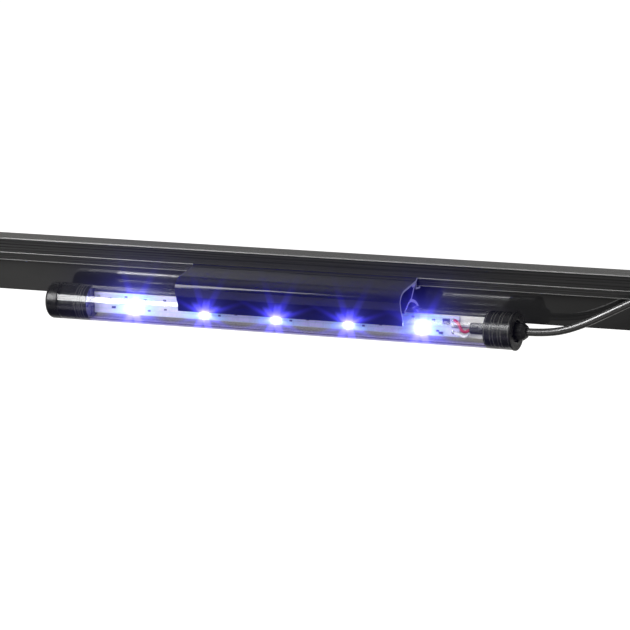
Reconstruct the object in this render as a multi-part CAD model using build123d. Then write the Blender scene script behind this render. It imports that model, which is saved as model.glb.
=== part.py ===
from build123d import *
import math
import os

# A clear LED tube light on an aquarium rail.
# Frame: +X along the rail, -Y towards the viewer, +Z up, millimetres.
# Origin: centre of the rail's underside, the face that rests on the glass rims.

# ---------------------------------------------------------------- driving dimensions
RAIL_LENGTH = 800.0
RAIL_HEIGHT = 38.7
RAIL_SEAT = 21.0          # width of the underside
RAIL_FRONT = -19.5        # front face of the upper, overhanging half
RAIL_WALL = 1.8
LEDGE_Z = 22.4            # underside of the overhang
RIDGE_Z = 28.15           # fine ridge along the front
BEAD_R = 0.45             # the ridge and the two lips end in fine round beads
FACE_LEAN = 3.0           # the lower half's front face leans forward this far towards its top
GROOVE_Y = (-16.6, -14.2)
GROOVE_TOP = 25.4
CAP_THICK = 3.0

TUBE_Y = -30.5
TUBE_Z = -2.6
TUBE_R = 13.0
TUBE_BORE_R = 11.0
TUBE_X = (-199.0, 151.0)

CLIP_X = (-100.0, 73.3)
CLIP_WALL = 1.5
GRIP_GAP = 0.35           # clip to tube

CORD_D = 5.4
CORD_R = CORD_D / 2

LED_COUNT = 5
LED_PITCH = 56.0
LED_MIDDLE_X = -30.6

BOARD_X = (-175.4, 109.0)
BOARD_WIDTH = 14.6
BOARD_THICK = 1.0
BOARD_BACK = 1.8          # board's face, this far behind the tube's axis
TAPE_THICK = 0.3
TRAY_WALL = 1.1
TRAY_DEPTH = 4.0

PLUG_R = 10.8
RING_R = 1.1
LEFT_PLUG_END = -175.7
RIGHT_PLUG_END = 131.4
LEFT_FLANGE = 10.2
RIGHT_FLANGE = 1.4
SLOT_DEPTH = 2.0          # how far the tray stands in each plug

GLAND_END = TUBE_X[1] + RIGHT_FLANGE + 7.5
NUT_R = 6.0
JACKET_END = 118.5
CORD_START = GLAND_END - 5.7

# The hank: turns laid side by side and on each other, one cord diameter apart.
HANK_X = 303.5            # middle
HANK_Y = -2.4
HANK_RUN = 50.0           # straight part of each turn
HANK_ABREAST = 2
HANK_LAYERS = 3
HANK_FOLD = 3.25 * CORD_D  # radius of the innermost turn's centreline
TIE_THICK = 0.8
TIE_WIDTH = 6.0
REST_GAP = 0.3
HANK_Z = RAIL_HEIGHT + REST_GAP + TIE_THICK
HANK_TOP = HANK_Z + HANK_LAYERS * CORD_D
HANK_OUTER = HANK_FOLD + (HANK_ABREAST - 0.5) * CORD_D
HANK_INNER = HANK_FOLD - CORD_R

PLUG_BODY_R = 5.0
PLUG_AXIS = (HANK_Y - HANK_OUTER + CORD_D, HANK_TOP + PLUG_BODY_R + 0.1)
BOOT_X = (302.0, 324.0)
PLUG_BODY_X = (324.0, 344.0)
BARREL_X = (344.0, 353.5)
BARREL_R = 2.75

# The cord's own route, corner by corner, from the gland to the hank and from the hank to its plug.
CORD_ROUTE = [
    (CORD_START, TUBE_Y, TUBE_Z),
    (174.0, -30.5, -2.8),
    (196.0, -30.4, 2.8),
    (225.0, -30.0, 17.3),
    (252.0, -28.2, 30.9),
    (270.0, -26.6, 38.6),
    (285.0, -25.4, 42.1),
    (299.0, -25.3, 42.5),
]
TAIL_ROUTE = [
    (264.0, -15.9, 53.3),
    (277.0, -22.6, 56.4),
    (292.0, PLUG_AXIS[0], PLUG_AXIS[1]),
    (BOOT_X[0], PLUG_AXIS[0], PLUG_AXIS[1]),
]


# ---------------------------------------------------------------- helpers
def save(name, shape):
    export_step(shape, f"parts/{name}.step")


def outline(points):
    """A closed outline in the rail's cross-section, as (Y, Z)."""
    return make_face(Polyline(*points, close=True))


def bar(face, start, end):
    """The cross-section carried along X."""
    return extrude(Plane.YZ.offset(start) * face, amount=end - start)


def block(x, y, z):
    """A box between two limits on each axis."""
    size = [abs(b - a) for a, b in (x, y, z)]
    middle = [(a + b) / 2 for a, b in (x, y, z)]
    return Pos(*middle) * Box(*size)


def rod(radius, start, end, y=TUBE_Y, z=TUBE_Z):
    return bar(Pos(y, z) * Circle(radius), start, end)


def strip(path, thick):
    """A band of even thickness with round ends, about an open line."""
    return make_face(offset(path, amount=thick / 2, side=Side.BOTH))


def turned(points, rounds=(), y=TUBE_Y, z=TUBE_Z):
    """A body of revolution about an X axis, from (X, radius) points; rounds are (point, radius)."""
    face = make_face(Polyline(*points, close=True))
    for (x, r), radius in rounds:
        near = face.vertices().sort_by(lambda v: math.hypot(v.X - x, v.Y - r))[0]
        face = fillet(near, radius)
    return Pos(0, y, z) * revolve(face, Axis.X)


def joined(shapes):
    """Separate solids that share one node."""
    return Compound(children=list(shapes))


def cord_tube(name, route, radius):
    """A round cord along straight runs and tangent arcs, as large as its runs allow."""
    points = [Vector(*p) for p in route]
    runs = [b - a for a, b in zip(points, points[1:])]
    radii = []
    for a, b in zip(runs, runs[1:]):
        half_turn = math.radians(a.get_angle(b)) / 2
        radii.append(0.45 * min(a.length, b.length) / math.tan(half_turn))
    path = FilletPolyline(*points, radius=radii)
    start = Plane(path @ 0, z_dir=path % 0)
    tube = sweep(start * Circle(radius), path=path)
    expected = math.pi * radius**2 * path.length
    print(name, "radii", [round(r, 1) for r in radii], "length", round(path.length, 1))
    print(name, "volume over section x length", round(tube.volume / expected, 4))
    return tube


# ---------------------------------------------------------------- rail
SEAT = RAIL_SEAT / 2
RAIL_OUTLINE = [
    (SEAT, 0.4),
    (SEAT - 0.4, 0.0),
    (-SEAT + 0.4, 0.0),
    (-SEAT, 0.4),
    (-SEAT - FACE_LEAN, LEDGE_Z),
    (GROOVE_Y[1], LEDGE_Z),
    (GROOVE_Y[1], GROOVE_TOP),
    (GROOVE_Y[0], GROOVE_TOP),
    (GROOVE_Y[0], LEDGE_Z),
    (-17.8, LEDGE_Z),
    (-18.1, LEDGE_Z + 0.35),
    (-19.2, RIDGE_Z - 0.7),
    (RAIL_FRONT, RIDGE_Z),
    (RAIL_FRONT, 38.0),
    (-18.5, 38.0),
    (-18.2, RAIL_HEIGHT),
    (SEAT - 1.0, RAIL_HEIGHT),
    (SEAT - 0.3, RAIL_HEIGHT - 0.3),
    (SEAT, RAIL_HEIGHT - 1.0),
]
BEADS = [(-18.0, LEDGE_Z + BEAD_R), (RAIL_FRONT + 0.15, RIDGE_Z), (RAIL_FRONT, RAIL_HEIGHT - BEAD_R)]
CAVITY_TOP = RAIL_HEIGHT - RAIL_WALL
CAVITY_SIDE = SEAT - RAIL_WALL
CAVITY_FRONT = RAIL_FRONT + RAIL_WALL
RAIL_CAVITY = [
    (CAVITY_SIDE, RAIL_WALL),
    (-CAVITY_SIDE, RAIL_WALL),
    (-CAVITY_SIDE - FACE_LEAN, GROOVE_TOP - 0.4),
    (GROOVE_Y[1] + RAIL_WALL, GROOVE_TOP + RAIL_WALL),
    (GROOVE_Y[0] - 0.4, GROOVE_TOP + RAIL_WALL),
    (CAVITY_FRONT, GROOVE_TOP + 4.0),
    (CAVITY_FRONT, CAVITY_TOP),
    (CAVITY_SIDE, CAVITY_TOP),
]
PORT_R = 3.5
SCREW_R = 1.45
SCREW_BORE_R = 1.5
PORTS = [(CAVITY_FRONT + 3.0, CAVITY_TOP - 3.0), (CAVITY_SIDE - 3.0, RAIL_WALL + 3.0)]
RAIL_END = RAIL_LENGTH / 2 - CAP_THICK


def beaded(points):
    """The rail's outline with its round beads."""
    section = outline(points)
    for y, z in BEADS:
        section += Pos(y, z) * Circle(BEAD_R)
    return section


def rail_profile():
    """A hollow extrusion with two screw ports; a groove under its overhang takes the clip's hook."""
    section = beaded(RAIL_OUTLINE)
    cavity = outline(RAIL_CAVITY)
    for y, z in PORTS:
        cavity -= Pos(y, z) * Circle(PORT_R)
    section -= cavity
    for y, z in PORTS:
        section -= Pos(y, z) * Circle(SCREW_BORE_R)
    return bar(section, -RAIL_END, RAIL_END)


def rail_end_cap(side):
    """A plate with the rail's outline and a lip that fits inside its cavity."""
    plain = [p for p in RAIL_OUTLINE if not (GROOVE_Y[0] <= p[0] <= GROOVE_Y[1])]
    end = side * RAIL_END
    cap = bar(beaded(plain), end, end + side * CAP_THICK)
    inner = offset(outline(RAIL_CAVITY), amount=-0.3, kind=Kind.INTERSECTION)
    lip = inner - offset(inner, amount=-1.4, kind=Kind.INTERSECTION)
    for y, z in PORTS:
        lip -= Pos(y, z) * Circle(PORT_R + 0.3)
    cap += bar(lip, end - side * 4.0, end)
    for y, z in PORTS:
        cap -= rod(SCREW_R + 0.1, end - side * 5, end + side * 5, y, z)
        sink = [(CAP_THICK, 0), (CAP_THICK, 3.0), (1.3, SCREW_R + 0.1), (1.3, 0)]
        cap -= turned([(end + side * x, r) for x, r in sink], y=y, z=z)
    return cap


def cap_screw(side, y, z):
    """A countersunk screw, flush with the cap, with a cross recess."""
    face = side * (RAIL_END + CAP_THICK - 0.1)
    shape = [(0, 0), (0, 2.7), (-1.4, SCREW_R), (-13.0, SCREW_R), (-14.5, 0.3), (-14.5, 0)]
    screw = turned([(face + side * x, r) for x, r in shape], y=y, z=z)
    for wide, tall in ((3.0, 0.6), (0.6, 3.0)):
        arm = (y - wide / 2, y + wide / 2), (z - tall / 2, z + tall / 2)
        screw -= block((face - side * 1.1, face + side * 1.0), *arm)
    return screw


# ---------------------------------------------------------------- clip
ROOF_BACK = (-22.6, 26.05)
ROOF_FRONT = (-42.4, 21.85)
SHOULDER = (-49.4, 14.6)
CREASE = (-47.95, 9.0)
BLADE_FOOT = (TUBE_Y - TUBE_R - GRIP_GAP - CLIP_WALL / 2, 2.2)
BLADE_END = (BLADE_FOOT[0], TUBE_Z + 1.1)
LIP_TOP = 28.6
LIP_Y = RAIL_FRONT - 0.3 - CLIP_WALL / 2
HOOK_Z = LEDGE_Z - 1.15
HOOK_Y = sum(GROOVE_Y) / 2


def clip_shade():
    """The outer shell: a lip against the rail's face, a roof, a shoulder, a blade and a hook."""
    roof = Line(ROOF_BACK, ROOF_FRONT)
    shoulder = TangentArc(ROOF_FRONT, SHOULDER, tangent=roof % 1)
    blade = Polyline(SHOULDER, CREASE, BLADE_FOOT, BLADE_END)
    shell = strip(roof + shoulder + blade, CLIP_WALL)
    lip = strip(Polyline(ROOF_BACK, (LIP_Y - 0.9, 26.9), (LIP_Y, 28.0), (LIP_Y, 30.6)), CLIP_WALL)
    hook_path = Polyline((-22.2, 26.0), (-22.2, HOOK_Z), (HOOK_Y, HOOK_Z), (HOOK_Y, GROOVE_TOP - 1.4))
    hook = strip(hook_path, CLIP_WALL - 0.2)
    section = shell + lip + hook - Pos(LIP_Y, LIP_TOP + 2) * Rectangle(4, 4)
    return bar(section, *CLIP_X)


ROOF_SLOPE = math.degrees(math.atan2(ROOF_BACK[1] - ROOF_FRONT[1], ROOF_BACK[0] - ROOF_FRONT[0]))
ARM_THICK = 2.0
ARM_R = 16.3
ARM_END = -25.0           # degrees below the tube's axis, at the back
NUB_R = 1.3
STEM_TOP = (-25.0, 23.3)
FORK = (-30.1, 15.0)
LEG_MIDDLE = (-35.6, 12.0)
LEG_END = (-41.5, 6.9)


def on_tube(radius, degrees):
    """A point of the cross-section, at a radius and angle about the tube's axis."""
    turn = math.radians(degrees)
    return (TUBE_Y + radius * math.cos(turn), TUBE_Z + radius * math.sin(turn))


def clip_cradle():
    """The Y-shaped cradle bonded under the roof: a stem, a front leg and a sprung back arm."""
    head = Pos(*ROOF_BACK) * Rot(0, 0, ROOF_SLOPE) * Pos(-3.9, -CLIP_WALL / 2 - 0.7) * Rectangle(5.6, 1.4)
    stem = strip(Polyline(STEM_TOP, FORK, LEG_MIDDLE, LEG_END), 1.6)
    arm_path = ThreePointArc(on_tube(ARM_R, 92), on_tube(ARM_R, 35), on_tube(ARM_R, ARM_END))
    arm = strip(arm_path, ARM_THICK)
    nub_reach = TUBE_R + GRIP_GAP + NUB_R
    nub = Pos(*on_tube(nub_reach, ARM_END + 3)) * Circle(NUB_R)
    neck = outline([on_tube(ARM_R - 0.6, 99), on_tube(ARM_R + 1.6, 97), FORK, on_tube(ARM_R, 84)])
    return bar(head + stem + arm + nub + neck, *CLIP_X)


# ---------------------------------------------------------------- tube, plugs and seals
def clear_tube():
    edge = 0.3
    points = [
        (TUBE_X[0], TUBE_BORE_R + edge),
        (TUBE_X[0], TUBE_R - edge),
        (TUBE_X[0] + edge, TUBE_R),
        (TUBE_X[1] - edge, TUBE_R),
        (TUBE_X[1], TUBE_R - edge),
        (TUBE_X[1], TUBE_BORE_R + edge),
        (TUBE_X[1] - edge, TUBE_BORE_R),
        (TUBE_X[0] + edge, TUBE_BORE_R),
    ]
    return turned(points)


GROOVE_R = TUBE_BORE_R - 2 * RING_R - 0.1
LEFT_RINGS = (-184.0, -180.0)
RIGHT_RINGS = (137.6, 143.4)


def ring_groove(x):
    half = RING_R + 0.1
    return turned([(x - half, GROOVE_R), (x - half, PLUG_R + 1), (x + half, PLUG_R + 1), (x + half, GROOVE_R)])


def o_rings(places):
    middle = TUBE_BORE_R - RING_R - 0.02
    for x in places:
        yield Pos(x, TUBE_Y, TUBE_Z) * Rot(0, 90, 0) * Torus(middle, RING_R)


def tray_slot(start, end):
    """The pocket in a plug's inner face that holds the end of the tray."""
    low, high = tray_edges()
    front = TUBE_Y + BOARD_BACK + BOARD_THICK
    back = front + TAPE_THICK + TRAY_DEPTH
    return block((start, end), (front - 0.1, back + 0.1), (low - 0.1, high + 0.1))


def tray_edges():
    half = BOARD_WIDTH / 2 + 0.4
    return TUBE_Z - half, TUBE_Z + half


def end_plug_left():
    """The closed end: a thick rounded flange and a long plug with two ring grooves."""
    flange = TUBE_X[0] - LEFT_FLANGE
    points = [
        (flange, 0),
        (flange, TUBE_R),
        (TUBE_X[0] - 0.05, TUBE_R),
        (TUBE_X[0] - 0.05, PLUG_R),
        (LEFT_PLUG_END, PLUG_R),
        (LEFT_PLUG_END, 0),
    ]
    rounds = [((flange, TUBE_R), 3.0), ((TUBE_X[0] - 0.05, TUBE_R), 0.5), ((LEFT_PLUG_END, PLUG_R), 0.6)]
    plug = turned(points, rounds)
    for x in LEFT_RINGS:
        plug -= ring_groove(x)
    return plug - tray_slot(LEFT_PLUG_END - SLOT_DEPTH, LEFT_PLUG_END + 1)


RECESS = 2.6
RIM_R = 8.0
RIGHT_FLANGE_R = 13.4
THREAD_R = 4.6
CABLE_BORE_R = 2.9


def end_plug_right():
    """The cable end: a thin flange with a recessed face, ring grooves and a threaded gland hole."""
    face = TUBE_X[1] + RIGHT_FLANGE
    seat = TUBE_X[1] + 0.05
    points = [
        (RIGHT_PLUG_END, CABLE_BORE_R),
        (RIGHT_PLUG_END, PLUG_R),
        (seat, PLUG_R),
        (seat, RIGHT_FLANGE_R),
        (face, RIGHT_FLANGE_R),
        (face, RIM_R),
        (face - RECESS, RIM_R - 0.8),
        (face - RECESS, THREAD_R + 0.05),
        (face - RECESS - 6.0, THREAD_R + 0.05),
        (face - RECESS - 6.0, CABLE_BORE_R),
    ]
    rounds = [((face, RIGHT_FLANGE_R), 0.5), ((face, RIM_R), 0.4), ((RIGHT_PLUG_END, PLUG_R), 0.6)]
    plug = turned(points, rounds)
    for x in RIGHT_RINGS:
        plug -= ring_groove(x)
    return plug - tray_slot(RIGHT_PLUG_END - 1, RIGHT_PLUG_END + SLOT_DEPTH)


# ---------------------------------------------------------------- cable gland
def gland_body():
    """A threaded bush: its stub is in the plug, its collar and outer thread stand in the recess."""
    floor = TUBE_X[1] + RIGHT_FLANGE - RECESS
    points = [
        (floor - 5.6, CABLE_BORE_R),
        (floor - 5.6, THREAD_R),
        (floor, THREAD_R),
        (floor + 0.05, 6.4),
        (floor + 1.6, 6.4),
        (floor + 1.6, 4.3),
        (floor + 5.6, 4.3),
        (floor + 5.6, 3.6),
        (floor + 2.2, 3.6),
        (floor + 2.2, CABLE_BORE_R),
    ]
    return turned(points)


def gland_seal():
    """The soft sleeve that the nut squeezes round the cable."""
    floor = TUBE_X[1] + RIGHT_FLANGE - RECESS
    points = [(floor + 2.3, 2.78), (floor + 2.3, 3.55), (floor + 7.0, 3.55), (floor + 8.2, 2.78)]
    return turned(points)


NUT_FLUTES = 12


def gland_nut():
    """A domed cap nut with finger flutes round its skirt."""
    start = TUBE_X[1] + RIGHT_FLANGE - RECESS + 1.8
    points = [
        (start, 4.4),
        (start, NUT_R),
        (GLAND_END - 2.6, NUT_R),
        (GLAND_END, NUT_R - 1.9),
        (GLAND_END, 2.8),
        (GLAND_END - 1.9, 2.8),
        (GLAND_END - 1.9, 3.65),
        (GLAND_END - 3.0, 4.4),
    ]
    nut = turned(points, [((GLAND_END, NUT_R - 1.9), 0.9), ((GLAND_END - 2.6, NUT_R), 0.9)])
    for n in range(NUT_FLUTES):
        y, z = on_tube(NUT_R + 0.55, n * 360 / NUT_FLUTES)
        nut -= rod(0.85, start - 1, GLAND_END - 2.9, y, z)
    return nut


# ---------------------------------------------------------------- board, tray, LEDs and wires
BOARD_FACE_Y = TUBE_Y + BOARD_BACK
BOARD_Z = TUBE_Z
LED_SIZE = 5.0
LED_HIGH = 1.5
LED_DROP = -2.4           # the LEDs sit this far from the board's middle line
WINDOW_R = 1.9


def led_places():
    first = LED_MIDDLE_X - LED_PITCH * (LED_COUNT - 1) / 2
    return [first + LED_PITCH * n for n in range(LED_COUNT)]


def on_board(x, rise, long, tall, high):
    """A small block standing on the board's face."""
    z = BOARD_Z + rise
    return block((x - long / 2, x + long / 2), (BOARD_FACE_Y - high, BOARD_FACE_Y), (z - tall / 2, z + tall / 2))


def led_board():
    half = BOARD_WIDTH / 2
    board = block(BOARD_X, (BOARD_FACE_Y, BOARD_FACE_Y + BOARD_THICK), (BOARD_Z - half, BOARD_Z + half))
    for x in (BOARD_X[0] + 4, BOARD_X[1] - 4):
        hole = Pos(x, BOARD_FACE_Y, BOARD_Z + 4.4) * Rot(90, 0, 0) * Cylinder(1.1, 6)
        board -= hole
    return board


def thermal_tape():
    back = BOARD_FACE_Y + BOARD_THICK
    half = BOARD_WIDTH / 2 - 1
    return block((BOARD_X[0] + 8, BOARD_X[1] - 8), (back, back + TAPE_THICK), (BOARD_Z - half, BOARD_Z + half))


def board_tray():
    """A channel that stiffens the board and stands in both plugs."""
    low, high = tray_edges()
    front = BOARD_FACE_Y + BOARD_THICK + TAPE_THICK
    ends = (LEFT_PLUG_END - SLOT_DEPTH + 0.1, RIGHT_PLUG_END + SLOT_DEPTH - 0.1)
    tray = block(ends, (front, front + TRAY_DEPTH), (low, high))
    return tray - block((ends[0] - 1, ends[1] + 1), (front + TRAY_WALL, front + 9), (low + TRAY_WALL, high - TRAY_WALL))


def led_packages():
    for x in led_places():
        body = on_board(x, LED_DROP, LED_SIZE, LED_SIZE, LED_HIGH)
        well = Pos(x, BOARD_FACE_Y - LED_HIGH, BOARD_Z + LED_DROP) * Rot(90, 0, 0) * Cylinder(WINDOW_R, 1.2)
        yield body - well


def led_windows():
    """The clear resin that fills each LED's well, slightly domed."""
    for x in led_places():
        face = BOARD_FACE_Y - LED_HIGH
        dome = [(0, 0), (0, WINDOW_R - 0.02), (0.58, WINDOW_R - 0.02), (0.85, 1.1), (0.95, 0)]
        lens = revolve(make_face(Polyline(*dome, close=True)), Axis.X)
        yield Pos(x, face + 0.58, BOARD_Z + LED_DROP) * Rot(0, 0, -90) * lens


RESISTORS_END = 95.0      # the chip and the wire pads take the board's right end
RESISTOR_PLACES = [(-7.0, 5.2), (8.5, 4.0), (11.5, -3.6), (24.0, 4.6), (24.5, -2.0)]


def smd_resistors():
    for x in led_places():
        for dx, rise in RESISTOR_PLACES:
            if x + dx < RESISTORS_END:
                yield on_board(x + dx, rise, 2.0, 1.25, 0.55)


def board_diodes():
    for x, rise in ((-163.0, 3.4), (-159.5, -2.6), (95.5, -4.9)):
        yield on_board(x, rise, 2.7, 1.6, 1.1)


def driver_chip():
    return on_board(99.5, 3.4, 4.9, 3.9, 1.5)


PAD_X = 104.5
PAD_RISES = (4.6, 0.4, -4.0)


def solder_joints():
    for rise in PAD_RISES:
        high, wide = 1.0, 1.5
        mound = [(0, 0), (wide, 0), (0.8 * wide, 0.6 * high), (0.35 * wide, high), (0, high)]
        cone = revolve(make_face(Polyline(*mound, close=True)), Axis.Y)
        yield Pos(PAD_X, BOARD_FACE_Y, BOARD_Z + rise) * Rot(180, 0, 0) * cone


WIRE_R = 1.1
SLEEVE_R = 3.9
# Each wire's corners, as (X, in front of the board's face, above the board's middle).
WIRE_ROUTES = {
    "red_wire": [(106.2, 1.4, 4.6), (110.0, 4.0, 3.4), (113.8, 4.6, -3.4), (119.0, 3.0, -0.7)],
    "white_wire": [(106.2, 1.4, -4.0), (110.5, 2.0, -5.2), (115.0, 2.6, -6.6), (119.0, 0.6, -0.7)],
    "grey_wire": [(106.2, 1.4, 0.4), (110.0, 1.5, 0.3), (114.5, 1.5, 0.9), (119.0, 1.8, 1.4)],
}


def core_wire(name):
    """A wire from its pad on the board to the end of the cable's jacket."""
    route = [(x, BOARD_FACE_Y - out, BOARD_Z + rise) for x, out, rise in WIRE_ROUTES[name]]
    return cord_tube(name, route, WIRE_R)


def cable_inner_end():
    """The sleeved end of the jacket inside the tube, through the plug and into the gland."""
    end = RIGHT_PLUG_END - 0.4
    sleeve = turned(
        [(JACKET_END, 0), (JACKET_END, SLEEVE_R), (end, SLEEVE_R), (end, 0)],
        [((JACKET_END, SLEEVE_R), 0.5), ((end, SLEEVE_R), 0.5)],
    )
    tray_front = BOARD_FACE_Y + BOARD_THICK + TAPE_THICK
    sleeve -= block((JACKET_END - 1, end + 1), (tray_front - 0.1, tray_front + 5), tray_edges())
    return sleeve + rod(CORD_R, end - 0.5, CORD_START - 0.3)


# ---------------------------------------------------------------- cord, hank and plug
def stadium(half_width):
    return SlotOverall(HANK_RUN + 2 * half_width, 2 * half_width)


def cord_hank():
    """The tied hank, as one ring with the outer shape of its turns."""
    ring = stadium(HANK_OUTER) - stadium(HANK_INNER)
    solid = extrude(Pos(HANK_X, HANK_Y, HANK_Z) * ring, amount=HANK_LAYERS * CORD_D)
    return chamfer(solid.edges().group_by(Axis.Z)[0] + solid.edges().group_by(Axis.Z)[-1], 1.2)


def hank_ties():
    """Two straps, one round each side of the hank."""
    half_x = (HANK_X - TIE_WIDTH / 2, HANK_X + TIE_WIDTH / 2)
    for side in (-1, 1):
        inner, outer = sorted((HANK_Y + side * HANK_INNER, HANK_Y + side * HANK_OUTER))
        strap = block(half_x, (inner - TIE_THICK, outer + TIE_THICK), (HANK_Z - TIE_THICK, HANK_TOP + TIE_THICK))
        yield strap - block((HANK_X - 9, HANK_X + 9), (inner, outer), (HANK_Z, HANK_TOP))


BOOT_RIBS = 5


def plug_boot():
    """The tapered strain relief, with rings cut round it."""
    long = BOOT_X[1] - BOOT_X[0]
    points = [(BOOT_X[0], 0), (BOOT_X[0], CORD_R + 0.5), (BOOT_X[1], 4.6), (BOOT_X[1], 0)]
    boot = turned(points, y=PLUG_AXIS[0], z=PLUG_AXIS[1])
    for n in range(BOOT_RIBS):
        x = BOOT_X[0] + long * (0.16 + 0.15 * n)
        cut = [(x, 2.9), (x, 6), (x + 1.3, 6), (x + 1.3, 2.9)]
        boot -= turned(cut, y=PLUG_AXIS[0], z=PLUG_AXIS[1])
    return boot


GRIP_FLUTES = 10


def plug_body():
    start, end = PLUG_BODY_X
    points = [(start, 0), (start, PLUG_BODY_R), (end, PLUG_BODY_R), (end, 0)]
    rounds = [((start, PLUG_BODY_R), 0.8), ((end, PLUG_BODY_R), 0.5)]
    body = turned(points, rounds, y=PLUG_AXIS[0], z=PLUG_AXIS[1])
    for n in range(GRIP_FLUTES):
        turn = math.radians(n * 360 / GRIP_FLUTES)
        y = PLUG_AXIS[0] + (PLUG_BODY_R + 0.3) * math.cos(turn)
        z = PLUG_AXIS[1] + (PLUG_BODY_R + 0.3) * math.sin(turn)
        body -= rod(0.7, start + 4, end - 4, y, z)
    return body


def plug_barrel():
    start, end = BARREL_X
    points = [(start, 1.75), (start, BARREL_R), (end - 0.4, BARREL_R), (end, BARREL_R - 0.35), (end, 1.75)]
    return turned(points, y=PLUG_AXIS[0], z=PLUG_AXIS[1])


def plug_insulator():
    start, end = BARREL_X
    points = [(start, 1.05), (start, 1.7), (end, 1.7), (end, 2.2), (end + 0.6, 2.2), (end + 0.6, 1.05)]
    return turned(points, y=PLUG_AXIS[0], z=PLUG_AXIS[1])


# ---------------------------------------------------------------- every node
def main():
    os.makedirs("parts", exist_ok=True)
    save("rail_profile", rail_profile())
    save("rail_end_cap_left", rail_end_cap(-1))
    save("rail_end_cap_right", rail_end_cap(1))
    save("rail_cap_screws", joined(cap_screw(side, y, z) for side in (-1, 1) for y, z in PORTS))
    save("clip_shade", clip_shade())
    save("clip_cradle", clip_cradle())
    save("clear_tube", clear_tube())
    save("end_plug_left", end_plug_left())
    save("end_plug_right", end_plug_right())
    save("o_rings_left", joined(o_rings(LEFT_RINGS)))
    save("o_rings_right", joined(o_rings(RIGHT_RINGS)))
    save("gland_body", gland_body())
    save("gland_seal", gland_seal())
    save("gland_nut", gland_nut())
    save("led_board", led_board())
    save("thermal_tape", thermal_tape())
    save("board_tray", board_tray())
    save("led_packages", joined(led_packages()))
    save("led_windows", joined(led_windows()))
    save("smd_resistors", joined(smd_resistors()))
    save("board_diodes", joined(board_diodes()))
    save("driver_chip", driver_chip())
    save("solder_joints", joined(solder_joints()))
    for name in WIRE_ROUTES:
        save(name, core_wire(name))
    save("cable_inner_end", cable_inner_end())
    save("cord_run", cord_tube("cord_run", CORD_ROUTE, CORD_R))
    save("cord_tail", cord_tube("cord_tail", TAIL_ROUTE, CORD_R))
    save("cord_hank", cord_hank())
    save("hank_ties", joined(hank_ties()))
    save("plug_boot", plug_boot())
    save("plug_body", plug_body())
    save("plug_barrel", plug_barrel())
    save("plug_insulator", plug_insulator())


main()
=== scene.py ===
"""An LED light tube in its clip on an aquarium rail: looks, cord, lights and camera round the frame."""
import math

import bmesh
import bpy
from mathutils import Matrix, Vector


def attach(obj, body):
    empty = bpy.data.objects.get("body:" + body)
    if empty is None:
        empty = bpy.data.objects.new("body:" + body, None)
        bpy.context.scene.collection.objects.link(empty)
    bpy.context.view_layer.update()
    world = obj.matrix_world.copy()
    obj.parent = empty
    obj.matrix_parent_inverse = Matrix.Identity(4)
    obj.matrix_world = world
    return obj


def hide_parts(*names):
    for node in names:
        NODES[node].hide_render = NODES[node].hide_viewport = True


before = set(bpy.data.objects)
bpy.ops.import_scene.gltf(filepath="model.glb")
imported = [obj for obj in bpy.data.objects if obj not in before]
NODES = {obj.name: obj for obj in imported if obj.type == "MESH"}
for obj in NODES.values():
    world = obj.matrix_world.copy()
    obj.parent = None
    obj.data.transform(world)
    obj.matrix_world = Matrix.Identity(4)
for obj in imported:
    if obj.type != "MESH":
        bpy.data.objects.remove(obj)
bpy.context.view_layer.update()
MM = 0.001

# ---------------------------------------------------------------- node helpers


class Nodes:
    """A node tree being built."""

    def __init__(self, tree):
        self.tree = tree

    def add(self, kind, **settings):
        node = self.tree.nodes.new(kind)
        for key, value in settings.items():
            setattr(node, key, value)
        return node

    def link(self, out, into):
        self.tree.links.new(out, into)

    def feed(self, value, into):
        """Give a socket another node's output, or a plain number."""
        if isinstance(value, bpy.types.NodeSocket):
            self.link(value, into)
        else:
            into.default_value = value

    def math(self, operation, *values):
        node = self.add("ShaderNodeMath", operation=operation)
        for socket, value in zip(node.inputs, values):
            self.feed(value, socket)
        return node.outputs["Value"]

    def ramp(self, value, low, high, start=0.35, end=0.65):
        """The value's range from start to end, turned into a range between two numbers."""
        span = self.add("ShaderNodeMapRange")
        for key, number in (("From Min", start), ("From Max", end), ("To Min", low), ("To Max", high)):
            span.inputs[key].default_value = number
        self.link(value, span.inputs["Value"])
        return span.outputs["Result"]

    def mixed(self, share, first, second):
        """Two shaders mixed, by a fixed share or by another node's output."""
        mix = self.add("ShaderNodeMixShader")
        self.feed(share, mix.inputs["Fac"])
        self.link(first, mix.inputs[1])
        self.link(second, mix.inputs[2])
        return mix.outputs["Shader"]


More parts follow.
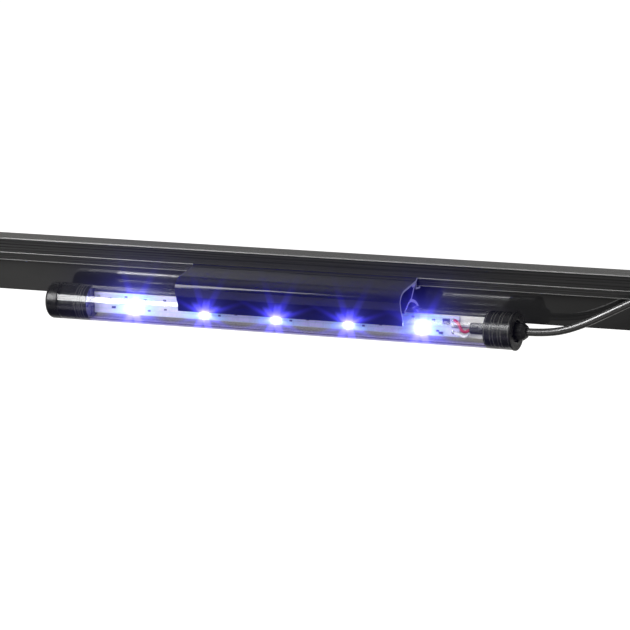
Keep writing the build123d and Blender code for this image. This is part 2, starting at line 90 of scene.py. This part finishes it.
class Look(Nodes):
    """A material being built: its Principled shader, and the object-space detail that feeds it."""

    def __init__(self, name, colour, rough, **sockets):
        self.material = bpy.data.materials.new(name)
        self.material.use_nodes = True
        super().__init__(self.material.node_tree)
        self.shader = self.tree.nodes["Principled BSDF"]
        self.shader.inputs["Base Color"].default_value = (*colour, 1)
        self.shader.inputs["Roughness"].default_value = rough
        for socket, value in sockets.items():
            self.shader.inputs[socket.replace("_", " ")].default_value = value
        self.colour = colour
        self.rough = rough
        self.coords = self.add("ShaderNodeTexCoord").outputs["Object"]

    def noise(self, size, stretch=(1, 1, 1), detail=3.0, warp=0.0):
        """Noise whose features are about size metres, stretched along an axis by a small factor there."""
        place = self.add("ShaderNodeMapping")
        place.inputs["Scale"].default_value = stretch
        self.link(self.coords, place.inputs["Vector"])
        noise = self.add("ShaderNodeTexNoise")
        noise.inputs["Scale"].default_value = 1 / size
        noise.inputs["Detail"].default_value = detail
        noise.inputs["Distortion"].default_value = warp
        self.link(place.outputs["Vector"], noise.inputs["Vector"])
        return noise.outputs["Fac"]

    def blend(self, value, first, second):
        """A colour between two, by the value."""
        mix = self.add("ShaderNodeMix", data_type="RGBA")
        self.link(value, mix.inputs["Factor"])
        for socket, colour in ((mix.inputs["A"], first), (mix.inputs["B"], second)):
            self.feed((*colour, 1) if isinstance(colour, tuple) else colour, socket)
        return mix.outputs["Result"]

    def tint(self, value, shift):
        """Base colour that varies by a fraction either way."""
        darker = tuple(c * (1 - shift) for c in self.colour)
        lighter = tuple(min(1.0, c * (1 + shift)) for c in self.colour)
        self.paint(self.blend(value, darker, lighter))

    def paint(self, colour):
        self.link(colour, self.shader.inputs["Base Color"])

    def painted(self):
        """What the base colour is painted with so far."""
        return self.shader.inputs["Base Color"].links[0].from_socket

    def wear(self, value, spread):
        """Roughness that varies about its own value."""
        result = self.ramp(value, max(0.0, self.rough - spread), min(1.0, self.rough + spread))
        self.link(result, self.shader.inputs["Roughness"])

    def relief(self, value, depth, strength=0.5):
        """Bump to a depth in metres, on top of any bump so far."""
        bump = self.add("ShaderNodeBump")
        bump.inputs["Distance"].default_value = depth
        bump.inputs["Strength"].default_value = strength
        self.link(value, bump.inputs["Height"])
        if self.shader.inputs["Normal"].is_linked:
            self.link(self.shader.inputs["Normal"].links[0].from_socket, bump.inputs["Normal"])
        self.link(bump.outputs["Normal"], self.shader.inputs["Normal"])

    def axis(self, name, out="Object"):
        """One coordinate of the object's own space, or of its surface normal."""
        parts = self.add("ShaderNodeSeparateXYZ")
        self.link(self.add("ShaderNodeTexCoord").outputs[out], parts.inputs["Vector"])
        return parts.outputs[name]

    def cut_ends(self):
        """1 on the faces square to the X axis, where a length of extruded stock was cut."""
        return self.ramp(self.math("ABSOLUTE", self.axis("X", "Normal")), 0, 1, 0.85, 0.95)

    def lit(self, colour, strength, where=None):
        """Light given off by the surface, everywhere or where a mask is 1."""
        self.shader.inputs["Emission Color"].default_value = (*colour, 1)
        self.shader.inputs["Emission Strength"].default_value = strength
        if where is not None:
            self.link(self.math("MULTIPLY", where, strength), self.shader.inputs["Emission Strength"])
        return self

    def output(self):
        return self.tree.nodes["Material Output"].inputs["Surface"]

    def glow_through(self, colour, share):
        """Some light comes through from behind, as in tinted acrylic."""
        translucent = self.add("ShaderNodeBsdfTranslucent")
        translucent.inputs["Color"].default_value = (*colour, 1)
        surface = self.mixed(share, self.shader.outputs["BSDF"], translucent.outputs["BSDF"])
        self.link(surface, self.output())

    def lets_lamps_through(self, colour):
        """Clear stock that lamps shine through in straight lines."""
        path = self.add("ShaderNodeLightPath")
        clear = self.add("ShaderNodeBsdfTransparent")
        clear.inputs["Color"].default_value = (*colour, 1)
        surface = self.mixed(
            path.outputs["Is Shadow Ray"], self.shader.outputs["BSDF"], clear.outputs["BSDF"]
        )
        self.link(surface, self.output())


def plain(name, colour, rough, grain=0.0006, depth=0.00002, shift=0.15, spread=0.06, **sockets):
    """Moulded or coated stock: cloudy colour, uneven sheen and a fine grain."""
    look = Look(name, colour, rough, **sockets)
    look.tint(look.noise(0.012), shift)
    look.wear(look.noise(0.004), spread)
    look.relief(look.noise(grain, detail=2.0), depth)
    return look


# ---------------------------------------------------------------- materials
LEDGE = 0.0224            # height where the rail's satin upper half meets its polished lower half
LEDGE_BLEND = 0.0004
BEADS = ((0.02275, 0.28), (0.02815, 0.46), (0.03835, 0.60))    # height of each bead and how bright the painted highlight along it is
BEAD_HALF = 0.00028
SATIN, POLISHED = 0.028, 0.052      # how light each half of the rail is; the polished half is painted lighter as a painted sheen
SATIN_ROUGH, POLISHED_ROUGH = 0.3, 0.045
MIRRORED = 0.35           # how much of the polished half answers as bare metal


def rail_look():
    """Dark anodised extrusion: satin above the ledge, a dim mirror below it, with a painted highlight along
    its beads.
    """
    look = Look("rail_anodised", (SATIN, SATIN, SATIN), SATIN_ROUGH, IOR=1.55)
    lines = look.noise(0.0011, stretch=(0.004, 1, 1), detail=4.0)
    height = look.axis("Z")
    mirror = look.ramp(height, 1, 0, LEDGE - LEDGE_BLEND, LEDGE)
    # The polished half's extra lightness is a painted sheen.
    shade = look.math("ADD", look.math("MULTIPLY", mirror, POLISHED - SATIN), SATIN)
    # Painted highlight: each rounded bead is painted light, as the ridges catch the lamps.
    for z, bead_highlight in BEADS:
        on_bead = look.math("COMPARE", height, z, BEAD_HALF)
        shade = look.math("MAXIMUM", shade, look.math("MULTIPLY", on_bead, bead_highlight))
    cloud = look.ramp(look.noise(0.03, stretch=(0.3, 1, 1)), 0.85, 1.15)
    shade = look.math("MULTIPLY", shade, cloud)
    grey = look.add("ShaderNodeCombineColor")
    for channel in ("Red", "Green", "Blue"):
        look.link(shade, grey.inputs[channel])
    look.paint(grey.outputs["Color"])
    look.link(look.math("MULTIPLY", mirror, MIRRORED), look.shader.inputs["Metallic"])
    rough = look.ramp(mirror, SATIN_ROUGH, POLISHED_ROUGH, 0, 1)
    look.link(look.math("MULTIPLY", rough, look.ramp(lines, 0.75, 1.25)), look.shader.inputs["Roughness"])
    look.relief(lines, 0.00001, 0.25)
    look.relief(look.noise(0.0004), 0.000004, 0.2)
    return look


TUBE_AXIS = (0, -0.0305, -0.0026)
BORE_R = 0.011
BORE_SKIN = 0.0002        # how far out from the bore its surface still counts as bore
SEALED = (-0.1757, 0.1314)          # the plugs fill the bore beyond these
# Painted glints: thin grey lines across the black sealed bore, at the O-ring edges and at two more ribs on
# the right.
RING_GLINT_XS = (-0.1851, -0.1829, -0.1811, -0.1789, 0.1322, 0.1365, 0.1387, 0.1423, 0.1445, 0.1498)
RING_GLINT_HALF = 0.00022
CLEAR = (0.985, 0.99, 1.0)
RUBBER_BLACK, RING_GLINT = (0.003, 0.003, 0.003), (0.10, 0.10, 0.09)


def tube_look():
    """Clear acrylic with a faint haze of fingerprints, black where the rubber plugs press on its bore,
    crossed there by painted glints as thin grey lines.
    """
    look = Look("tube_clear", CLEAR, 0.0, IOR=1.49, Transmission_Weight=1.0)
    from_axis = look.add("ShaderNodeVectorMath", operation="SUBTRACT")
    from_axis.inputs[1].default_value = TUBE_AXIS
    look.link(look.coords, from_axis.inputs[0])
    across = look.add("ShaderNodeVectorMath", operation="MULTIPLY")
    across.inputs[1].default_value = (0, 1, 1)
    look.link(from_axis.outputs["Vector"], across.inputs[0])
    radius = look.add("ShaderNodeVectorMath", operation="LENGTH")
    look.link(across.outputs["Vector"], radius.inputs[0])
    bore = look.ramp(radius.outputs["Value"], 1, 0, BORE_R + BORE_SKIN, BORE_R + 2 * BORE_SKIN)
    along = look.axis("X")
    past_left = look.math("LESS_THAN", along, SEALED[0])
    past_right = look.math("GREATER_THAN", along, SEALED[1])
    sealed = look.math("MULTIPLY", bore, look.math("MAXIMUM", past_left, past_right))
    glints = 0.0
    # Each painted glint is a thin grey line across the black.
    for x in RING_GLINT_XS:
        glints = look.math("MAXIMUM", glints, look.math("COMPARE", along, x, RING_GLINT_HALF))
    black = look.blend(glints, RUBBER_BLACK, RING_GLINT)
    look.paint(look.blend(sealed, CLEAR, black))
    look.link(look.math("SUBTRACT", 1.0, sealed), look.shader.inputs["Transmission Weight"])
    haze = look.ramp(look.noise(0.018, warp=0.6), 0.0, 0.035, 0.5, 0.75)
    rough = look.math("MAXIMUM", haze, look.math("MULTIPLY", sealed, 0.25))
    look.link(rough, look.shader.inputs["Roughness"])
    look.relief(look.noise(0.0025, stretch=(0.01, 1, 1)), 0.000012, 0.35)
    look.lets_lamps_through((0.96, 0.97, 0.985))
    return look


SHADE_BLUE, SHADE_ROOF_SHEEN = (0.012, 0.012, 0.046), (0.050, 0.050, 0.050)


def shade_look():
    """Dark blue tinted acrylic: deep gloss, a painted grey sheen on its upward faces, and a painted glow at
    its cut ends for the light piped there.
    """
    look = Look("shade_tinted", SHADE_BLUE, 0.08, IOR=1.49)
    look.tint(look.noise(0.02), 0.2)
    # Painted sheen: the upward faces are painted greyer.
    roof = look.ramp(look.axis("Z", "Normal"), 0, 1, 0.35, 0.8)
    look.paint(look.blend(roof, look.painted(), SHADE_ROOF_SHEEN))
    look.wear(look.noise(0.0012, stretch=(0.03, 1, 1), detail=5.0), 0.035)
    look.relief(look.noise(0.006, stretch=(0.2, 1, 1)), 0.00003, 0.25)
    # Painted glow on the cut ends, for the light piped there.
    look.lit((0.42, 0.42, 0.8), 0.36, look.cut_ends())
    look.glow_through((0.06, 0.06, 0.8), 0.2)
    return look


def cradle_look():
    """Clear acrylic that looks ink blue in bulk and lilac at its cut ends, where the light comes out."""
    look = Look("cradle_clear", (0.10, 0.10, 0.55), 0.12, IOR=1.49, Transmission_Weight=0.6)
    look.tint(look.noise(0.01), 0.15)
    look.wear(look.noise(0.003, stretch=(0.1, 1, 1)), 0.06)
    look.relief(look.noise(0.004, stretch=(0.1, 1, 1)), 0.00003, 0.3)
    look.lit((0.30, 0.28, 0.80), 0.42, look.cut_ends())
    look.lets_lamps_through((0.5, 0.5, 0.85))
    return look


FACE_SHEEN_GREY = (0.05, 0.05, 0.05)
LED_CAST = ((0.03, 0.025, 0.12), (0.05, 0.045, 0.18))


def turned_look(name, colour, rough, lit_beyond=None):
    """Black turned plastic with fine tool rings about the tube's axis, and cut faces painted greyer as a
    painted sheen.

    Past the place lit_beyond on X it takes the blue cast of the LEDs.
    """
    look = Look(name, colour, rough, IOR=1.5)
    look.tint(look.noise(0.01), 0.25)
    # Painted sheen: the cut faces are painted greyer.
    look.paint(look.blend(look.cut_ends(), look.painted(), FACE_SHEEN_GREY))
    if lit_beyond is not None:
        beyond = look.math("GREATER_THAN", look.axis("X"), lit_beyond)
        look.paint(look.blend(beyond, look.painted(), look.blend(look.noise(0.003), *LED_CAST)))
    rings = look.noise(0.0005, stretch=(1, 0.002, 0.002), detail=1.0)
    look.wear(look.noise(0.003), 0.06)
    look.relief(rings, 0.00001, 0.3)
    return look


LED_X, LED_PITCH = -0.0306, 0.056   # the middle LED, and from one to the next
CYAN_FULL, CYAN_GONE = 0.008, 0.022 # how far from an LED the painted cyan light starts to fade, and ends
LED_SPILL_CYAN = (0.46, 0.80, 0.90)
TRACKS = (("Mortar Size", 0.00022), ("Brick Width", 0.0115), ("Row Height", 0.0032))


def board_look():
    """White solder mask over faint copper tracks, painted lavender as a cast of the LEDs' light, with a
    painted pool of cyan light round each LED.
    """
    # The lavender in the mask's colours is a painted cast of the LEDs' light on white.
    look = Look("board_mask", (0.66, 0.65, 0.84), 0.28, Coat_Weight=0.3, Coat_Roughness=0.15)
    tracks = look.add("ShaderNodeTexBrick")
    tracks.inputs["Scale"].default_value = 1.0
    for key, number in TRACKS:
        tracks.inputs[key].default_value = number
    turn = look.add("ShaderNodeMapping")
    turn.inputs["Rotation"].default_value = (math.radians(90), 0, 0)
    look.link(look.coords, turn.inputs["Vector"])
    look.link(turn.outputs["Vector"], tracks.inputs["Vector"])
    cloud = look.blend(look.noise(0.01), (0.58, 0.55, 0.82), (0.66, 0.64, 0.86))
    along = look.math("WRAP", look.axis("X"), LED_X + LED_PITCH / 2, LED_X - LED_PITCH / 2)
    near = look.math("ABSOLUTE", look.math("SUBTRACT", along, LED_X))
    # Painted light: a pool of cyan round each LED.
    cloud = look.blend(look.ramp(near, 1, 0, CYAN_FULL, CYAN_GONE), cloud, LED_SPILL_CYAN)
    look.paint(look.blend(tracks.outputs["Fac"], cloud, (0.52, 0.60, 0.72)))
    look.wear(look.noise(0.004), 0.08)
    look.relief(tracks.outputs["Fac"], 0.00003, 0.5)
    return look


def led_resin_look():
    """The lit resin over the chip: brightest in the middle of each LED."""
    look = Look("led_resin_lit", (0.5, 0.6, 1.0), 0.15, IOR=1.5)
    look.lit((0.24, 0.26, 1.0), 420.0)
    look.tint(look.noise(0.0008), 0.15)
    look.relief(look.noise(0.0006), 0.00002)
    return look


def metal(name, colour, rough, stretch=(1, 1, 1)):
    """Bare metal with a fine brushed grain, which runs along the axis that stretch makes small."""
    look = Look(name, colour, rough, Metallic=1.0)
    look.tint(look.noise(0.004), 0.12)
    brushed = look.noise(0.0005, stretch=stretch, detail=4.0)
    look.wear(brushed, 0.08)
    look.relief(brushed, 0.00001, 0.5)
    return look


def rubber(name, colour, rough):
    """Soft black stock: plain, with a slight wave."""
    look = plain(name, colour, rough, grain=0.0005, depth=0.000012, shift=0.3, spread=0.09)
    look.relief(look.noise(0.005, warp=0.4), 0.00004, 0.2)
    return look


CORD_LOOK = plain(
    "cord_jacket", (0.014, 0.014, 0.015), 0.3, grain=0.002, depth=0.000004, shift=0.2, IOR=2.5
)
LOOKS = {
    "rail_profile": rail_look(),
    "clear_tube": tube_look(),
    "clip_shade": shade_look(),
    "clip_cradle": cradle_look(),
    "led_board": board_look(),
    "led_windows": led_resin_look(),
}
PLUG_BLACK, PLUG_ROUGH = (0.007, 0.007, 0.008), 0.3
PLUG_FACE = SEALED[0] - 0.0003      # just inside the left plug's inner face
SHARED = {
    plain("cap_moulded", (0.018, 0.018, 0.02), 0.42): ("rail_end_cap_left", "rail_end_cap_right"),
    metal("screw_zinc", (0.52, 0.52, 0.55), 0.3): ("rail_cap_screws",),
    turned_look("plug_black_turned", PLUG_BLACK, PLUG_ROUGH): ("end_plug_right",),
    turned_look("plug_black_faced", PLUG_BLACK, PLUG_ROUGH, PLUG_FACE): ("end_plug_left",),
    rubber("ring_rubber_black", (0.012, 0.012, 0.013), 0.38): (
        "o_rings_left", "o_rings_right", "gland_seal",
    ),
    plain("gland_nylon", (0.028, 0.028, 0.03), 0.3): ("gland_body", "gland_nut", "plug_body"),
    plain("tape_thermal", (0.55, 0.55, 0.52), 0.6, depth=0.00004): ("thermal_tape",),
    plain("tray_extruded", (0.74, 0.73, 0.68), 0.34, grain=0.001): ("board_tray",),
    plain("led_case_white", (0.85, 0.86, 0.88), 0.4).lit((0.5, 0.6, 1.0), 12.0): ("led_packages",),
    plain("chip_moulded", (0.02, 0.02, 0.022), 0.5): ("driver_chip", "board_diodes", "plug_insulator"),
    plain("resistor_glaze", (0.05, 0.05, 0.06), 0.3): ("smd_resistors",),
    metal("solder_bright", (0.75, 0.76, 0.78), 0.22): ("solder_joints",),
    plain("wire_red_pvc", (0.50, 0.012, 0.06), 0.35): ("red_wire",),
    plain("wire_white_pvc", (0.82, 0.82, 0.84), 0.35): ("white_wire",),
    plain("wire_grey_pvc", (0.16, 0.15, 0.2), 0.35): ("grey_wire",),
    CORD_LOOK: ("plug_boot",),
    # The cord's jacket inside the tube, painted darker and bluer than the cord: painted shade with the
    # LEDs' blue cast.
    plain("jacket_inner", (0.004, 0.004, 0.010), 0.5, IOR=1.35): ("cable_inner_end",),
    plain("tie_nylon", (0.02, 0.02, 0.021), 0.4): ("hank_ties",),
    metal("barrel_nickel", (0.72, 0.71, 0.68), 0.16, (0.1, 1, 1)): ("plug_barrel",),
}
for shared_look, names in SHARED.items():
    for name in names:
        LOOKS[name] = shared_look

for name, node in NODES.items():
    if name in LOOKS:
        node.data.materials.clear()
        node.data.materials.append(LOOKS[name].material)

# ---------------------------------------------------------------- cord
CORD_D = 0.0054
CORD_ROUTE = [
    (154.2, -30.5, -2.6),
    (174.0, -30.5, -2.8),
    (196.0, -30.4, 2.8),
    (225.0, -30.0, 17.3),
    (252.0, -28.2, 30.9),
    (270.0, -26.6, 38.6),
    (285.0, -25.4, 42.1),
    (299.0, -25.35, 42.5),
]
TAIL_ROUTE = [
    (264.6, -16.8, 59.0),
    (277.0, -21.8, 60.6),
    (292.0, -22.65, 61.1),
    (303.0, -22.65, 61.1),
]
HANK_X, HANK_Y = 303.5, -2.4
HALF_RUN = 25.0
OUTER, INNER = 22.95, 17.55
LAYERS = (42.5, 47.9, 53.3)
END_STEPS = 8
# Each lap's right end and left end: radius and height as each half turn starts and stops.
LAPS = [
    ((OUTER, OUTER, LAYERS[0], LAYERS[0]), (OUTER, INNER, LAYERS[0], LAYERS[0])),
    ((INNER, INNER, LAYERS[0], LAYERS[0]), (INNER, INNER, LAYERS[1], LAYERS[1])),
    ((INNER, OUTER, LAYERS[1], LAYERS[1]), (OUTER, OUTER, LAYERS[1], LAYERS[1])),
    ((OUTER, OUTER, LAYERS[2], LAYERS[2]), (OUTER, INNER, LAYERS[2], LAYERS[2])),
    ((INNER, INNER, LAYERS[2], LAYERS[2]), (INNER, INNER + 1.0, LAYERS[2], LAYERS[2] + 7.0)),
]
TAIL_LEAVES = 5           # how many points of the last half turn come before the tail


def half_turn(side, radius_a, radius_b, z_a, z_b):
    """The control points round one end of the hank; side is 1 on the right and -1 on the left."""
    step = math.pi / END_STEPS
    reach = 8 / (6 + 2 * math.cos(step))
    for n in range(END_STEPS):
        share = n / (END_STEPS - 1)
        angle = -side * math.pi / 2 + (n + 0.5) * step
        radius = (radius_a + (radius_b - radius_a) * share) * reach
        z = z_a + (z_b - z_a) * share
        yield (HANK_X + side * HALF_RUN + radius * math.cos(angle), HANK_Y + radius * math.sin(angle), z)


def cord_points():
    points = list(CORD_ROUTE)
    for right, left in LAPS:
        points += half_turn(1, *right)
        points += half_turn(-1, *left)
    points = points[: len(points) - END_STEPS + TAIL_LEAVES]
    return [Vector(p) * MM for p in points + TAIL_ROUTE]


def light_cord():
    """The whole cord, from the gland through the hank to its power plug, as one open spline."""
    curve = bpy.data.curves.new("light_cord", "CURVE")
    curve.dimensions = "3D"
    curve.bevel_depth = CORD_D / 2
    curve.bevel_resolution = 5
    curve.resolution_u = 8
    curve.use_fill_caps = True
    points = cord_points()
    spline = curve.splines.new("NURBS")
    spline.points.add(len(points) - 1)
    for target, point in zip(spline.points, points):
        target.co = (*point, 1)
    spline.order_u = 3
    spline.use_endpoint_u = True
    cord = bpy.data.objects.new("light_cord", curve)
    bpy.context.scene.collection.objects.link(cord)
    curve.materials.append(CORD_LOOK.material)
    return cord


cord = light_cord()
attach(cord, "lead")
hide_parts("cord_run", "cord_hank", "cord_tail")

# ---------------------------------------------------------------- floor, light and camera
FLOOR_Z = -0.42
FLOOR_R = 9.0
FLOOR_SIDES = 96
WHITE = 1.05              # how bright the floor and the backdrop are to the camera


def pale_floor():
    """A round white floor that the camera alone sees, so that the object stands out as on a cut-out."""
    shape = bmesh.new()
    bmesh.ops.create_circle(shape, cap_ends=True, segments=FLOOR_SIDES, radius=FLOOR_R)
    mesh = bpy.data.meshes.new("floor")
    shape.to_mesh(mesh)
    shape.free()
    floor = bpy.data.objects.new("floor", mesh)
    floor.location.z = FLOOR_Z
    bpy.context.scene.collection.objects.link(floor)
    look = Look("floor_pale", (0.6, 0.6, 0.6), 0.9, Emission_Strength=WHITE)
    look.shader.inputs["Emission Color"].default_value = (1, 1, 1, 1)
    mesh.materials.append(look.material)
    floor.visible_diffuse = False
    floor.visible_glossy = False
    floor.visible_transmission = False


def softbox(name, place, aim, size, power, diffuse=True, glossy=True):
    """A rectangular lamp, its size in metres and its power in watts."""
    data = bpy.data.lights.new(name, "AREA")
    data.shape = "RECTANGLE"
    data.size, data.size_y = size
    data.energy = power
    lamp = bpy.data.objects.new(name, data)
    lamp.location = place
    lamp.rotation_mode = "QUATERNION"
    lamp.rotation_quaternion = (Vector(aim) - Vector(place)).to_track_quat("-Z", "Y")
    lamp.visible_diffuse = diffuse
    lamp.visible_glossy = glossy
    bpy.context.scene.collection.objects.link(lamp)


# How bright each part of the room is.
ROOM, HORIZON = 0.09, 0.34
BEHIND, TABLE, SIDES, CEILING = 0.6, 0.7, 0.45, 0.25
ROOM_COLOUR = (1, 0.985, 0.95, 1)
# Where each part starts and where it is full, along a ray's direction: +Y is back, +Z is up.
WALL_BACK, WALL_UP = (0.55, 0.85), (0.352, 0.16)
BEHIND_BACK, BEHIND_UP = (0.2, 0.6), (-0.2, -0.3)
TABLE_BACK, TABLE_UP = (-0.5, -0.7), (-0.28, -0.42)
SIDES_OUT = (0.72, 0.9)
CEILING_UP = (0.75, 0.95)
# Where the wall and the table fade towards the right, +X, and how much of their light is left there.
WALL_RIGHT, WALL_KEPT = (-0.5, -0.3), 0.5
TABLE_RIGHT, TABLE_KEPT = (-0.48, -0.36), 0.3
# What shows through the clear tube, from straight down to straight up: (sine of elevation, colour).
THROUGH = [
    (-1.0, (0.05, 0.05, 0.06)),
    (-0.72, (0.06, 0.05, 0.09)),
    (-0.58, (0.22, 0.18, 0.50)),
    (-0.42, (0.20, 0.17, 0.36)),
    (-0.34, (0.13, 0.12, 0.10)),
    (-0.24, (0.24, 0.23, 0.19)),
    (-0.16, (0.95, 0.95, 0.95)),
    (0.10, (0.85, 0.85, 0.88)),
    (0.45, (0.25, 0.25, 0.28)),
    (1.0, (0.1, 0.1, 0.1)),
]


def room_glow(sky, back, right, up):
    """The room's brightness in one direction."""

    def within(value, reach, full=1.0):
        return sky.ramp(value, 0, full, *reach)

    level = sky.math("ABSOLUTE", up)
    aside = sky.math("ABSOLUTE", right)
    wall = sky.math("MULTIPLY", within(back, WALL_BACK), within(level, WALL_UP))
    wall_share = sky.ramp(right, HORIZON, WALL_KEPT * HORIZON, *WALL_RIGHT)
    table = sky.math("MULTIPLY", within(back, TABLE_BACK), within(up, TABLE_UP))
    table_share = sky.ramp(right, TABLE, TABLE_KEPT * TABLE, *TABLE_RIGHT)
    parts = (
        sky.math("MULTIPLY", wall, wall_share),
        sky.math("MULTIPLY", within(back, BEHIND_BACK, BEHIND), within(up, BEHIND_UP)),
        sky.math("MULTIPLY", table, table_share),
        within(aside, SIDES_OUT, SIDES),
        within(up, CEILING_UP, CEILING),
    )
    glow = ROOM
    for part in parts:
        glow = sky.math("ADD", glow, part)
    return glow


def tent():
    """A dark room with pale parts; rays through the tube meet bands instead, and the camera sees white."""
    world = bpy.data.worlds.new("tent")
    bpy.context.scene.world = world
    world.use_nodes = True
    sky = Nodes(world.node_tree)
    direction = sky.add("ShaderNodeSeparateXYZ")
    sky.link(sky.add("ShaderNodeTexCoord").outputs["Generated"], direction.inputs["Vector"])
    right, back, up = (direction.outputs[axis] for axis in "XYZ")

    room = sky.tree.nodes["Background"]
    room.inputs["Color"].default_value = ROOM_COLOUR
    sky.link(room_glow(sky, back, right, up), room.inputs["Strength"])
    bands = sky.add("ShaderNodeValToRGB")
    stops = bands.color_ramp.elements
    while len(stops) < len(THROUGH):
        stops.new(0.5)
    for stop, (sine, colour) in zip(stops, THROUGH):
        stop.position = (sine + 1) / 2
        stop.color = (*colour, 1)
    sky.link(sky.ramp(up, 0, 1, -1, 1), bands.inputs["Fac"])
    through = sky.add("ShaderNodeBackground")
    sky.link(bands.outputs["Color"], through.inputs["Color"])
    white = sky.add("ShaderNodeBackground")
    white.inputs["Color"].default_value = (1, 1, 1, 1)
    white.inputs["Strength"].default_value = WHITE

    path = sky.add("ShaderNodeLightPath")
    source = room.outputs["Background"]
    for ray, other in (("Is Transmission Ray", through), ("Is Camera Ray", white)):
        source = sky.mixed(path.outputs[ray], source, other.outputs["Background"])
    sky.link(source, sky.tree.nodes["World Output"].inputs["Surface"])


VIOLET = (0.20, 0.13, 1.0, 1)
FLARES = [
    ("STREAKS", {
        "Threshold": 4.0, "Strength": 0.8, "Streaks": 8, "Streaks Angle": math.radians(17),
        "Iterations": 3, "Fade": 0.89, "Color Modulation": 0.1, "Tint": VIOLET,
    }),
    ("STREAKS", {
        "Threshold": 8.0, "Strength": 1.25, "Streaks": 7, "Streaks Angle": math.radians(4),
        "Iterations": 2, "Fade": 0.83, "Color Modulation": 0.1, "Tint": (0.45, 0.35, 1.0, 1),
    }),
    ("BLOOM", {"Threshold": 4.0, "Strength": 0.7, "Size": 0.08, "Tint": (0.75, 0.75, 1.0, 1)}),
    ("BLOOM", {"Threshold": 4.0, "Strength": 0.6, "Size": 0.2, "Tint": (0.5, 0.38, 1.0, 1)}),
    ("BLOOM", {"Threshold": 20.0, "Strength": 0.15, "Size": 0.45, "Tint": VIOLET}),
]


def lens_flare():
    """Starbursts and a soft bloom round the lit LEDs, as a lens stopped down gives."""
    scene = bpy.context.scene
    scene.use_nodes = True
    tree = scene.node_tree
    tree.nodes.clear()
    source = tree.nodes.new("CompositorNodeRLayers").outputs["Image"]
    for kind, settings in FLARES:
        glare = tree.nodes.new("CompositorNodeGlare")
        glare.glare_type = kind
        glare.quality = "HIGH"
        for key, value in settings.items():
            glare.inputs[key].default_value = value
        tree.links.new(source, glare.inputs["Image"])
        source = glare.outputs["Image"]
    tree.links.new(source, tree.nodes.new("CompositorNodeComposite").inputs["Image"])


VIEW_AZIMUTH, VIEW_ELEVATION = math.radians(25.136), math.radians(8.351)
VIEW_DISTANCE = 2.6952
VIEW_AIM = Vector((0, -0.0305, -0.00078))
LENS = 220.4
SENSOR = 36.0


def camera():
    """A long lens at the photograph's angle, aimed at the tube."""
    data = bpy.data.cameras.new("camera")
    data.sensor_width = SENSOR
    data.lens = LENS
    flat = math.cos(VIEW_ELEVATION)
    back = Vector((math.sin(VIEW_AZIMUTH) * flat, -math.cos(VIEW_AZIMUTH) * flat, math.sin(VIEW_ELEVATION)))
    eye = bpy.data.objects.new("camera", data)
    eye.location = VIEW_AIM + back * VIEW_DISTANCE
    eye.rotation_mode = "QUATERNION"
    eye.rotation_quaternion = (-back).to_track_quat("-Z", "Y")
    bpy.context.scene.collection.objects.link(eye)
    bpy.context.scene.camera = eye


pale_floor()
tent()
LIGHT_AIM = (0, -0.03, 0)
CORD_AIM = (0.3, -0.03, 0)
softbox("softbox_left", (-1.17, -1.22, 0.68), LIGHT_AIM, (0.8, 0.95), 24, diffuse=False)
softbox("softbox_fill", (-0.6, -1.5, 0.9), LIGHT_AIM, (1.2, 1.0), 15, glossy=False)
softbox("softbox_back", (0.5, 1.5, 0.7), LIGHT_AIM, (1.2, 1.0), 30)
softbox("softbox_low", (0.2, 0.9, -1.2), LIGHT_AIM, (1.0, 1.0), 8, glossy=False)
softbox("softbox_right", (-0.28, -1.25, 0.72), CORD_AIM, (0.4, 0.3), 0.8, diffuse=False)
camera()
lens_flare()

view = bpy.context.scene.view_settings
view.view_transform = "Standard"
view.look = "None"
